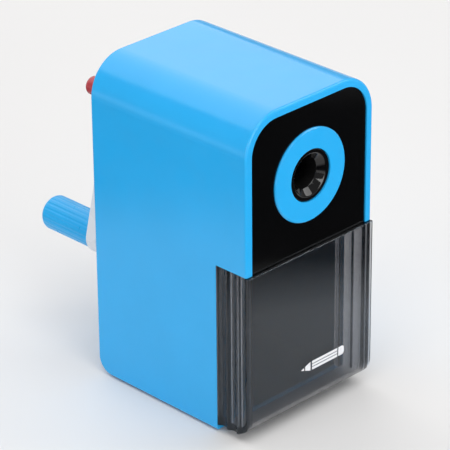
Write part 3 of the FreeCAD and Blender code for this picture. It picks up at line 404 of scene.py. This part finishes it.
def pencil_mark(materials):
    """A generic printed pencil on the drawer: point, cone, barrel, ferrule and eraser."""
    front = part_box("drawer_bin")[0][1] / MM
    lead, cone, barrel, ferrule, eraser = (MARK_POINT + reach for reach in MARK_REACHES)
    lead_half = MARK_HALF * (lead - MARK_POINT) / (cone - MARK_POINT)
    facet_half = MARK_HALF / 3.0  # two lines split the barrel into three facets
    parts = [
        [(MARK_POINT, MARK_HEIGHT), (lead, MARK_HEIGHT - lead_half),
         (lead, MARK_HEIGHT + lead_half)],
        mirrored([(lead + MARK_GAP, lead_half + MARK_CONE_STEP), (cone, MARK_HALF)]),
        mirrored([(ferrule + MARK_GAP, MARK_HALF), (eraser, MARK_HALF),
                  (eraser + ERASER_TIP, MARK_HALF * ERASER_TIP_SHARE)]),
    ]
    for low, high in ((-MARK_HALF, -facet_half - MARK_LINE_HALF),
                      (MARK_LINE_HALF - facet_half, facet_half - MARK_LINE_HALF),
                      (facet_half + MARK_LINE_HALF, MARK_HALF)):
        parts.append(band([(barrel, MARK_HEIGHT + low), (ferrule, MARK_HEIGHT + low)],
                          [(barrel, MARK_HEIGHT + high), (ferrule, MARK_HEIGHT + high)]))
    shape = bmesh.new()
    for corners in parts:
        raised_mark(shape, corners, front)
    add_piece("pencil_mark", shape, materials["arm_white"], "drawer", smooth=False)


# ---------------------------------------------------------------- studio

def camera():
    """The camera at its measured place, looking along its yaw and dip, then rolled."""
    level = math.cos(CAMERA_DIP)
    ahead = Vector((math.sin(CAMERA_YAW) * level, math.cos(CAMERA_YAW) * level,
                    -math.sin(CAMERA_DIP)))
    right = Vector((math.cos(CAMERA_YAW), -math.sin(CAMERA_YAW), 0.0))
    above = right.cross(ahead)
    roll = Matrix.Rotation(CAMERA_ROLL, 3, "Z")
    turn = Matrix((right, above, -ahead)).transposed() @ roll
    data = bpy.data.cameras.new("camera")
    data.sensor_width = CAMERA_SENSOR_MM
    data.lens = CAMERA_LENS_MM
    data.clip_start = CAMERA_NEAR
    piece = bpy.data.objects.new("camera", data)
    piece.matrix_world = Matrix.Translation(CAMERA_PLACE) @ turn.to_4x4()
    bpy.context.scene.collection.objects.link(piece)
    bpy.context.scene.camera = piece


def aimed(place, target, front):
    """A place and turn that points an object's front axis at a target."""
    facing = (Vector(target) - Vector(place)).to_track_quat(front, "Y")
    return Matrix.Translation(place) @ facing.to_matrix().to_4x4()


def card(name, size, place, material):
    """A flat square that faces up: a stage piece."""
    mesh = bpy.data.meshes.new(name)
    half = size / 2.0
    corners = [(-half, -half, 0.0), (half, -half, 0.0), (half, half, 0.0), (-half, half, 0.0)]
    mesh.from_pydata(corners, [], [(0, 1, 2, 3)])
    mesh.materials.append(material)
    piece = bpy.data.objects.new(name, mesh)
    piece.matrix_world = aimed(place, (place[0], place[1], 1.0), "Z")
    bpy.context.scene.collection.objects.link(piece)
    return piece


def softbox(name, width, height, place, power):
    """An area lamp that faces the object, with its power in watts."""
    data = bpy.data.lights.new(name, "AREA")
    data.shape = "RECTANGLE"
    data.size = width
    data.size_y = height
    data.energy = power
    piece = bpy.data.objects.new(name, data)
    piece.matrix_world = aimed(place, LAMP_TARGET, "-Z")
    bpy.context.scene.collection.objects.link(piece)


def floor_material():
    shader = Shader("studio_floor")
    shader.set(roughness=0.75, specular_ior_level=0.2)
    shader.vary_colour(shader.noise(scale=3.0, detail=2.0), *FLOOR_COLOURS)
    return shader.material


def flag_material():
    """Clear near the object, dark round it, and clear far out, with soft edges between."""
    shader = Shader("dark_flag")
    reach = shader.add("ShaderNodeVectorMath", operation="LENGTH")
    shader.link(shader.place, reach.inputs[0])
    distance = reach.outputs["Value"]
    both = shader.add("ShaderNodeMath", operation="MULTIPLY")
    shader.link(shader.remap(distance, 0.0, 1.0, FLAG_START, FLAG_FULL), both.inputs[0])
    shader.link(shader.remap(distance, 1.0, 0.0, FLAG_FADE, FLAG_RIM), both.inputs[1])
    clear = shader.add("ShaderNodeBsdfTransparent")
    dark = shader.add("ShaderNodeBsdfDiffuse")
    dark.inputs["Color"].default_value = FLAG_COLOUR
    mix = shader.add("ShaderNodeMixShader")
    shader.link(both.outputs[0], mix.inputs[0])
    shader.link(clear.outputs[0], mix.inputs[1])
    shader.link(dark.outputs[0], mix.inputs[2])
    shader.link(mix.outputs[0], shader.output.inputs["Surface"])
    return shader.material


def flag():
    """A dark surround that only glossy surfaces see, as from a pale sheet on a dark table."""
    piece = card("flag", FLAG_RIM * 2.0, FLAG_PLACE, flag_material())
    piece.visible_camera = False
    piece.visible_diffuse = False
    piece.visible_shadow = False
    piece.visible_transmission = False


def studio():
    """A pale floor with its dark ring, the softboxes and a soft sky."""
    card("floor", FLOOR_SIZE, (0.0, 0.0, 0.0), floor_material())
    flag()
    for name, lamp in LAMPS.items():
        softbox(name, *lamp)
    world = bpy.data.worlds.new("world")
    bpy.context.scene.world = world
    world.use_nodes = True
    sky = world.node_tree.nodes["Background"]
    sky.inputs["Color"].default_value = SKY_COLOUR
    sky.inputs["Strength"].default_value = SKY_STRENGTH
    bpy.context.scene.view_settings.view_transform = "Standard"


materials = make_materials()
dress(materials)
entry_bezel(materials)
pencil_mark(materials)
studio()
camera()
